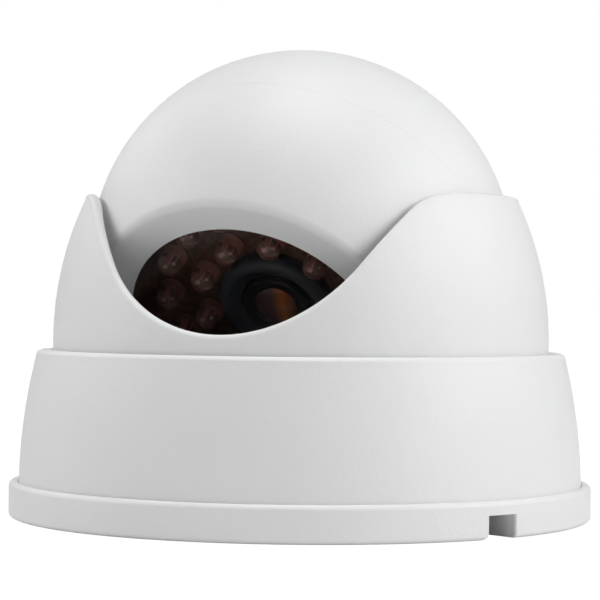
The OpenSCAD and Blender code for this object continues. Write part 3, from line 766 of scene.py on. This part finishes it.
def swivel_stops(bm):
    """Stops for the yoke's swivel."""
    for side in (-1, 1):
        add_box(bm, (-SWIVEL_STOP_HALF, -SWIVEL_STOP_R[1], NECK_FLANGE_TOP - ROOT),
                (SWIVEL_STOP_HALF, -SWIVEL_STOP_R[0], NECK_FLANGE_TOP + SWIVEL_STOP_H),
                azimuth(math.pi + side * SWIVEL_STOP_ANGLE))


def ring_screw_holes(bm):
    """Holes for the screws that hold the retaining ring."""
    for k in range(RING_SCREWS):
        place = azimuth((k + 0.5) * TURN / RING_SCREWS, RING_SCREW_CIRCLE)
        add_cylinder(bm, RING_HOLE_R, NECK_BOTTOM - THROUGH, NECK_BOTTOM + RING_HOLE_DEPTH,
                     place, segments=24)


def make_collar(segments=480):
    """Collar: its edge follows the notch, rounded the same all the way along."""
    step = TURN / segments
    heights = [rim_height(k * step) for k in range(segments)]
    bm = bmesh.new()
    rings = []
    for k in range(segments):
        rise = (heights[(k + 1) % segments] - heights[k - 1]) / 2
        run = arc_x(COLLAR_ARC, heights[k]) * step
        section = collar_section(heights[k], math.hypot(rise, run) / run)
        s, c = math.sin(k * step), -math.cos(k * step)
        rings.append([bm.verts.new((r * s, r * c, z)) for r, z in section])
    for a, b in zip(rings, rings[1:] + rings[:1]):
        for i in range(len(a)):
            n = (i + 1) % len(a)
            bm.faces.new((a[i], a[n], b[n], b[i]))
    collar = mesh_object("collar", bm)
    add(collar, swivel_stops)
    cut(collar, ring_screw_holes)
    return finish_piece(collar, "white_abs", "collar", ["collar_shell"])


# ---- Ball ----
def at_pivots(bm, r, reach, segments=48):
    """Adds a cylinder at each end of the tilt axis, between two distances from the middle."""
    for side in (-1, 1):
        outwards = Matrix.Rotation(side * math.pi / 2, 4, "Y")
        add_cylinder(bm, r, *reach, outwards, segments)


def pivot_flats(bm):
    """Room for the flats at the two pivots."""
    for side in (-1, 1):
        x = sorted((side * FLAT_X, side * (FLAT_X + FLAT_ROOM)))
        add_box(bm, (x[0], -FLAT_HALF, -FLAT_HALF), (x[1], FLAT_HALF, FLAT_HALF))


def bush_pockets(bm):
    """Pockets that hold the pivot bushes."""
    at_pivots(bm, BUSH_R, BUSH_REACH)


def pivot_bosses(side):
    """Half of both pivot bosses, above or below the joint plane."""
    def build(bm):
        at_pivots(bm, BOSS_R, (BOSS_IN, FLAT_X + ROOT), 64)
        bmesh.ops.bisect_plane(bm, geom=bm.verts[:] + bm.edges[:] + bm.faces[:],
                               plane_co=(0, 0, 0), plane_no=(0, 0, -side), clear_outer=True)
        bmesh.ops.holes_fill(bm, edges=[e for e in bm.edges if e.is_boundary], sides=0)
    return build


def boss_room(bm):
    """Room in the rear shell for the bosses."""
    at_pivots(bm, BOSS_R + BOSS_PLAY, (BOSS_IN, BOSS_IN + BOSS_ROOM), 64)


def wire_hole(bm):
    add_cylinder(bm, WIRE_HOLE_R, *WIRE_HOLE_REACH, Matrix.Rotation(WIRE_HOLE_ANGLE, 4, "X"), 64)


def board_posts(bm):
    """Posts that hold the lamp board."""
    for i in range(BOARD_POSTS):
        turn = Matrix.Rotation(TURN / 4 + i * TURN / BOARD_POSTS, 4, "Z")
        place = turn @ Matrix.Translation((BOARD_POST_CIRCLE, 0, 0))
        add_cylinder(bm, POST_R, BOARD_TOP + FACE_GAP, BOARD_TOP + BOARD_POST_H, place)


def finish_shell(shell, node):
    """Moves a half of the ball, already in metres, from the ball's frame to the object's."""
    place = BALL.copy()
    place.translation = BALL.translation * MM
    shell.data.transform(place)
    return finish_piece(shell, "white_abs", "ball", [node])


def front_profile():
    """Section of the front half: joint plane, sphere, lip, cone, opening, window's pocket."""
    mouth_z = math.sqrt(BALL_R ** 2 - MOUTH_R ** 2)
    cone = math.atan2(mouth_z - OPEN_Z, MOUTH_R - OPEN_R)
    nx, nz = -math.sin(cone), math.cos(cone)
    lip_r = BALL_R - MOUTH_ROUND
    lip = math.asin((nx * OPEN_R + nz * OPEN_Z - MOUTH_ROUND) / lip_r) - math.atan2(nx, nz)
    lip_deg = math.degrees(lip)
    inner = BALL_R - BALL_WALL
    inner_deg = [math.degrees(math.asin(z / inner)) for z in (SHELL_INNER_TOP, SEAM_GAP)]
    return (
        [(BALL_R - SEAM_LAND, SEAM_GAP), (BALL_R - SEAM_EDGE, SEAM_GAP)]
        + arc(0, 0, BALL_R, SEAM_DEG, lip_deg, 44)
        + arc(lip_r * math.cos(lip), lip_r * math.sin(lip), MOUTH_ROUND,
              lip_deg, 90 + math.degrees(cone), 16)[1:]
        + [(OPEN_R + d, OPEN_Z + d * math.tan(cone)) for d in CONE_RINGS]
        + arc(OPEN_R + OPEN_EDGE, OPEN_Z - OPEN_EDGE_DROP, OPEN_EDGE, 100, 180, 5)
        + [(OPEN_R, WINDOW_Z[1] + FACE_GAP), (WINDOW_R + WINDOW_PLAY, WINDOW_Z[1] + FACE_GAP),
           (WINDOW_R + WINDOW_PLAY, WINDOW_POCKET_Z), (WINDOW_POCKET_R, WINDOW_POCKET_Z)]
        + arc(0, 0, inner, *inner_deg, 20))


def make_front_shell():
    """Front of the ball: the dished mouth runs down from a softly rounded lip to the window."""
    shell = revolved("ball_front", front_profile())
    add(shell, board_posts)
    add(shell, pivot_bosses(1))
    cut(shell, pivot_flats)
    cut(shell, bush_pockets)
    return finish_shell(shell, "ball_front_shell")


def make_rear_shell():
    """Rear of the ball: a plain half sphere with a spigot, and the hole for the wires."""
    inner = BALL_R - BALL_WALL
    profile = (
        [(0, -BALL_R)] + arc(0, 0, BALL_R, POLE_DEG, -SEAM_DEG, 60)
        + [(BALL_R - SEAM_EDGE, -SEAM_GAP), (BALL_R - SEAM_LAND, -SEAM_GAP),
           (SPIGOT_R[1], -SEAM_GAP), (SPIGOT_R[1], SPIGOT_Z[1] - SPIGOT_EDGE),
           (SPIGOT_R[1] - SPIGOT_EDGE, SPIGOT_Z[1]), (SPIGOT_R[0], SPIGOT_Z[1]),
           (SPIGOT_R[0], SPIGOT_Z[0])]
        + arc(0, 0, inner, REAR_INNER_DEG, POLE_DEG, 40) + [(0, -inner)])
    shell = revolved("ball_rear", profile, closed=False)
    cut(shell, boss_room)
    add(shell, pivot_bosses(-1))
    cut(shell, pivot_flats)
    cut(shell, bush_pockets)
    cut(shell, wire_hole)
    return finish_shell(shell, "ball_rear_shell")


def make_window():
    """Smoked window: a disc with a polished, slightly broken edge."""
    low, high = WINDOW_Z
    edge = WINDOW_EDGE
    profile = [(0, high), (WINDOW_R * 0.5, high), (WINDOW_R - edge, high), (WINDOW_R, high - edge),
               (WINDOW_R, low + edge), (WINDOW_R - edge, low), (WINDOW_R * 0.5, low), (0, low)]
    window = revolved("window", profile, 192, BALL, closed=False)
    return finish_piece(window, "smoked_window", "ball", ["smoked_window"])


# ---- Lamps ----
def lamp_places(ring, skip=None):
    """Matrices of a ring's lamps in the ball's frame, each turned and tilted a little."""
    radius, count, phase = ring
    places = []
    for i in range(count):
        spin = random.uniform(-LAMP_SPIN, LAMP_SPIN)
        lean = (Matrix.Rotation(random.uniform(-LAMP_LEAN, LAMP_LEAN), 4, "X")
                @ Matrix.Rotation(random.uniform(-LAMP_LEAN, LAMP_LEAN), 4, "Y"))
        if i == skip:
            continue
        angle = phase + TURN * i / count
        at = Matrix.Translation((radius * math.cos(angle), radius * math.sin(angle), LAMP_Z))
        places.append(at @ lean @ Matrix.Rotation(LAMP_TURN + spin, 4, "Z"))
    return places


def lamp_profile():
    """Outside of a 5 mm lamp, tip to base."""
    dome = arc(0, LAMP_H - LAMP_R, LAMP_R, 90, 0, 12)[1:]
    edge = LAMP_FLANGE_EDGE
    return ([(0, LAMP_H)] + dome
            + [(LAMP_R, LAMP_FLANGE_T + edge), (LAMP_R + LAMP_FILLET, LAMP_FLANGE_T),
               (LAMP_FLANGE_R - edge, LAMP_FLANGE_T), (LAMP_FLANGE_R, LAMP_FLANGE_T - edge),
               (LAMP_FLANGE_R, edge), (LAMP_FLANGE_R - edge, 0), (0, 0)])


def make_lamps(name, places, node):
    """A ring of clear lamps as one piece."""
    bm = bmesh.new()
    for place in places:
        verts = add_revolved(bm, lamp_profile(), 40, closed=False)
        bmesh.ops.transform(bm, matrix=place, verts=verts)
    lamps = mesh_object(name, bm, BALL)
    return finish_piece(lamps, "clear_epoxy", "ball", [node])


def make_lead_frames(name, places):
    """Inside each lamp: its rough base, the anvil with its cup, and the pin beside it."""
    half_x, half_y = ANVIL_HALF
    bm = bmesh.new()
    for place in places:
        add_cylinder(bm, LAMP_BASE_R, *LAMP_BASE_Z, place, 40)
        add_box(bm, (ANVIL_X - half_x, -half_y, FRAME_BOTTOM),
                (ANVIL_X + half_x, half_y, ANVIL_TOP), place)
        at_anvil = place @ Matrix.Translation((ANVIL_X, 0, 0))
        add_cylinder(bm, CUP_R[0], ANVIL_TOP, CUP_TOP, at_anvil, 20, CUP_R[1])
        add_box(bm, (PIN_X - PIN_HALF, -PIN_HALF, FRAME_BOTTOM),
                (PIN_X + PIN_HALF, PIN_HALF, PIN_TOP), place)
    frames = mesh_object(name, bm, BALL)
    return finish_piece(frames, "lamp_inside", "ball")


def make_painted_glint_tips(name, places):
    """The ends of the lead frames, what fills the cup and the end of the pin, in plain white that paints their
    glints.
    """
    bm = bmesh.new()
    for place in places:
        at_anvil = place @ Matrix.Translation((ANVIL_X, 0, 0))
        add_cylinder(bm, CUP_TIP_R[0], *CUP_TIP_Z, at_anvil, 20, CUP_TIP_R[1])
        at_pin = place @ Matrix.Translation((PIN_X, 0, 0))
        add_cylinder(bm, PIN_TIP_R[0], *PIN_TIP_Z, at_pin, 16, PIN_TIP_R[1])
    tips = mesh_object(name, bm, BALL)
    return finish_piece(tips, "lamp_tip", "ball")


# ---- Lens ----
def make_shroud():
    """Black ring round the lens, dished towards it, its colour lifted and tinted blue as a painted sheen."""
    lip_r = SHROUD_R - SHROUD_ROUND - SHROUD_LIP
    lip_z = SHROUD_SIDE_TOP + SHROUD_ROUND - SHROUD_LIP
    out, up = SHROUD_DISH
    profile = ([(SHROUD_BORE_R, LAMP_Z), (SHROUD_R, LAMP_Z)]
               + arc(SHROUD_R - SHROUD_ROUND, SHROUD_SIDE_TOP, SHROUD_ROUND, 0, 90, 12)
               + arc(lip_r, lip_z, SHROUD_LIP, 90, 130, 3)
               + [(SHROUD_BORE_R + out, SHROUD_SIDE_TOP + up), (SHROUD_BORE_R, SHROUD_SIDE_TOP)])
    shroud = revolved("shroud", profile, 160, BALL)
    return finish_piece(shroud, "shroud", "ball", ["lens_shroud"])


def make_barrel():
    """Stepped black barrel with a ridged head."""
    steps = []
    for i in range(STEPS):
        r = STEP_R - i * STEP_IN
        steps += [(r, HEAD_TOP - i * STEP_DOWN), (r, HEAD_TOP - (i + 1) * STEP_DOWN)]
    valley = HEAD_R - RIDGE_DEPTH
    ridges = []
    for i in range(RIDGES):
        corners = [RIDGE_BOTTOM + i * RIDGE_PITCH + z for z in RIDGE_CORNERS]
        ridges += list(zip((valley, HEAD_R, HEAD_R, valley), corners))
    profile = ([(BARREL_BORE_R, BARREL_BOTTOM), (BARREL_R, BARREL_BOTTOM), (BARREL_R, HEAD_BOTTOM),
                (valley, HEAD_BOTTOM)] + ridges
               + [(HEAD_R, HEAD_TOP - HEAD_EDGE), (HEAD_R - HEAD_EDGE, HEAD_TOP)] + steps
               + [(GLASS_SEAT_R, GLASS_SEAT_Z[1]), (GLASS_SEAT_R, GLASS_SEAT_Z[0]),
                  (BARREL_BORE_R, GLASS_SEAT_Z[0])])
    barrel = revolved("barrel", profile, 128, BALL)
    return finish_piece(barrel, "black_plastic", "lens", ["lens_barrel"])


def make_front_glass():
    """Domed front element with its coating."""
    edge = math.degrees(math.asin(GLASS_R / GLASS_CURVE_R))
    dome = arc(0, GLASS_CURVE_Z, GLASS_CURVE_R, 90, 90 - edge, 12)[1:]
    tip = [(0, GLASS_CURVE_Z + GLASS_CURVE_R)]
    profile = tip + dome + [(GLASS_R, GLASS_BACK), (0, GLASS_BACK)]
    glass = revolved("front_element", profile, 96, BALL, closed=False)
    return finish_piece(glass, "lens_glass", "lens", ["lens_front_glass"])


def dress_frame_nodes():
    """Gives every CAD piece that still shows its own material."""
    slots = {s["node"]: s["material_slot"] for s in frame["record"]["subparts"]}
    for name, obj in frame["nodes"].items():
        material = MATERIALS[slots[name]]
        if not obj.material_slots:
            obj.data.materials.append(material)
        for place in obj.material_slots:
            place.material = material


# ---- Stage, light and camera ----
def make_stage():
    """Plain pale floor, which the camera sees evenly bright."""
    bm = bmesh.new()
    bmesh.ops.create_circle(bm, cap_ends=True, segments=64, radius=FLOOR_R / MM)
    floor = mesh_object("floor", bm)
    floor.location.z = cad_box[0].z - FLOOR_DROP
    m = Material("floor")
    paper = m.node("ShaderNodeBsdfDiffuse")
    m.link(m.ramp(m.noise(3, 2), [(0.3, (0.74, 0.74, 0.74, 1)), (0.7, (0.76, 0.76, 0.76, 1))]),
           paper.inputs["Color"])
    bright = m.node("ShaderNodeEmission", Strength=FLOOR_GLOW)
    path = m.node("ShaderNodeLightPath")
    seen = m.node("ShaderNodeMapRange")
    seen.inputs["To Max"].default_value = FLOOR_SEEN
    m.link(path.outputs["Is Camera Ray"], seen.inputs["Value"])
    mix = m.node("ShaderNodeMixShader")
    m.link(seen.outputs["Result"], mix.inputs["Fac"])
    m.link(paper.outputs["BSDF"], mix.inputs[1])
    m.link(bright.outputs["Emission"], mix.inputs[2])
    m.link(mix.outputs["Shader"], m.output.inputs["Surface"])
    floor.data.materials.append(m.material)


def make_world():
    """White all round for the camera, a softer white for the light it gives."""
    world = bpy.data.worlds.new("studio")
    bpy.context.scene.world = world
    world.use_nodes = True
    tree = world.node_tree
    tree.nodes.clear()
    seen = tree.nodes.new("ShaderNodeBackground")
    seen.inputs["Strength"].default_value = 1.0
    lit = tree.nodes.new("ShaderNodeBackground")
    lit.inputs["Strength"].default_value = WORLD_LIGHT
    for n in (seen, lit):
        n.inputs["Color"].default_value = (1, 1, 1, 1)
    path = tree.nodes.new("ShaderNodeLightPath")
    mix = tree.nodes.new("ShaderNodeMixShader")
    out = tree.nodes.new("ShaderNodeOutputWorld")
    tree.links.new(path.outputs["Is Camera Ray"], mix.inputs["Fac"])
    tree.links.new(lit.outputs["Background"], mix.inputs[1])
    tree.links.new(seen.outputs["Background"], mix.inputs[2])
    tree.links.new(mix.outputs["Shader"], out.inputs["Surface"])


def area_light(name, azimuth_deg, elevation_deg, size, power):
    """Soft round light at an azimuth and elevation about the object, aimed at it."""
    a, e = math.radians(azimuth_deg), math.radians(elevation_deg)
    away = Vector((math.sin(a) * math.cos(e), -math.cos(a) * math.cos(e), math.sin(e)))
    data = bpy.data.lights.new(name, "AREA")
    data.shape = "DISK"
    data.size = size
    data.energy = power
    light = bpy.data.objects.new(name, data)
    light.location = LIGHT_TARGET + away * LIGHT_DISTANCE
    light.rotation_euler = (-away).to_track_quat("-Z", "Y").to_euler()
    light.visible_camera = False
    bpy.context.scene.collection.objects.link(light)


def make_camera():
    """Camera at the photographed angle."""
    data = bpy.data.cameras.new("camera")
    data.lens = CAMERA_LENS
    data.sensor_width = CAMERA_SENSOR
    data.clip_start, data.clip_end = CAMERA_CLIP
    camera = bpy.data.objects.new("camera", data)
    bpy.context.scene.collection.objects.link(camera)
    place = Matrix.Translation((CAMERA_DISTANCE * math.sin(CAMERA_AZIMUTH),
                                -CAMERA_DISTANCE * math.cos(CAMERA_AZIMUTH), CAMERA_HEIGHT))
    aim = Matrix.Rotation(CAMERA_AZIMUTH + CAMERA_YAW, 4, "Z") @ Matrix.Rotation(math.pi / 2, 4, "X")
    camera.matrix_world = place @ aim @ Matrix.Rotation(CAMERA_ROLL, 4, "Z")
    bpy.context.scene.camera = camera


random.seed(7)
make_camera()
make_world()
for light_values in LIGHTS:
    area_light(*light_values)
make_stage()
dress_frame_nodes()
make_plate()
make_housing()
make_collar()
make_front_shell()
make_rear_shell()
make_window()
inner_places = lamp_places(INNER_RING)
outer_places = lamp_places(OUTER_RING, SENSOR_PLACE)
make_lamps("inner_lamps", inner_places, "inner_ir_leds")
make_lamps("outer_lamps", outer_places, "outer_ir_leds")
make_lead_frames("inner_lead_frames", inner_places)
make_lead_frames("outer_lead_frames", outer_places)
make_painted_glint_tips("inner_painted_glint_tips", inner_places)
make_painted_glint_tips("outer_painted_glint_tips", outer_places)
make_shroud()
make_barrel()
make_front_glass()
bpy.context.scene.view_settings.view_transform = "Standard"
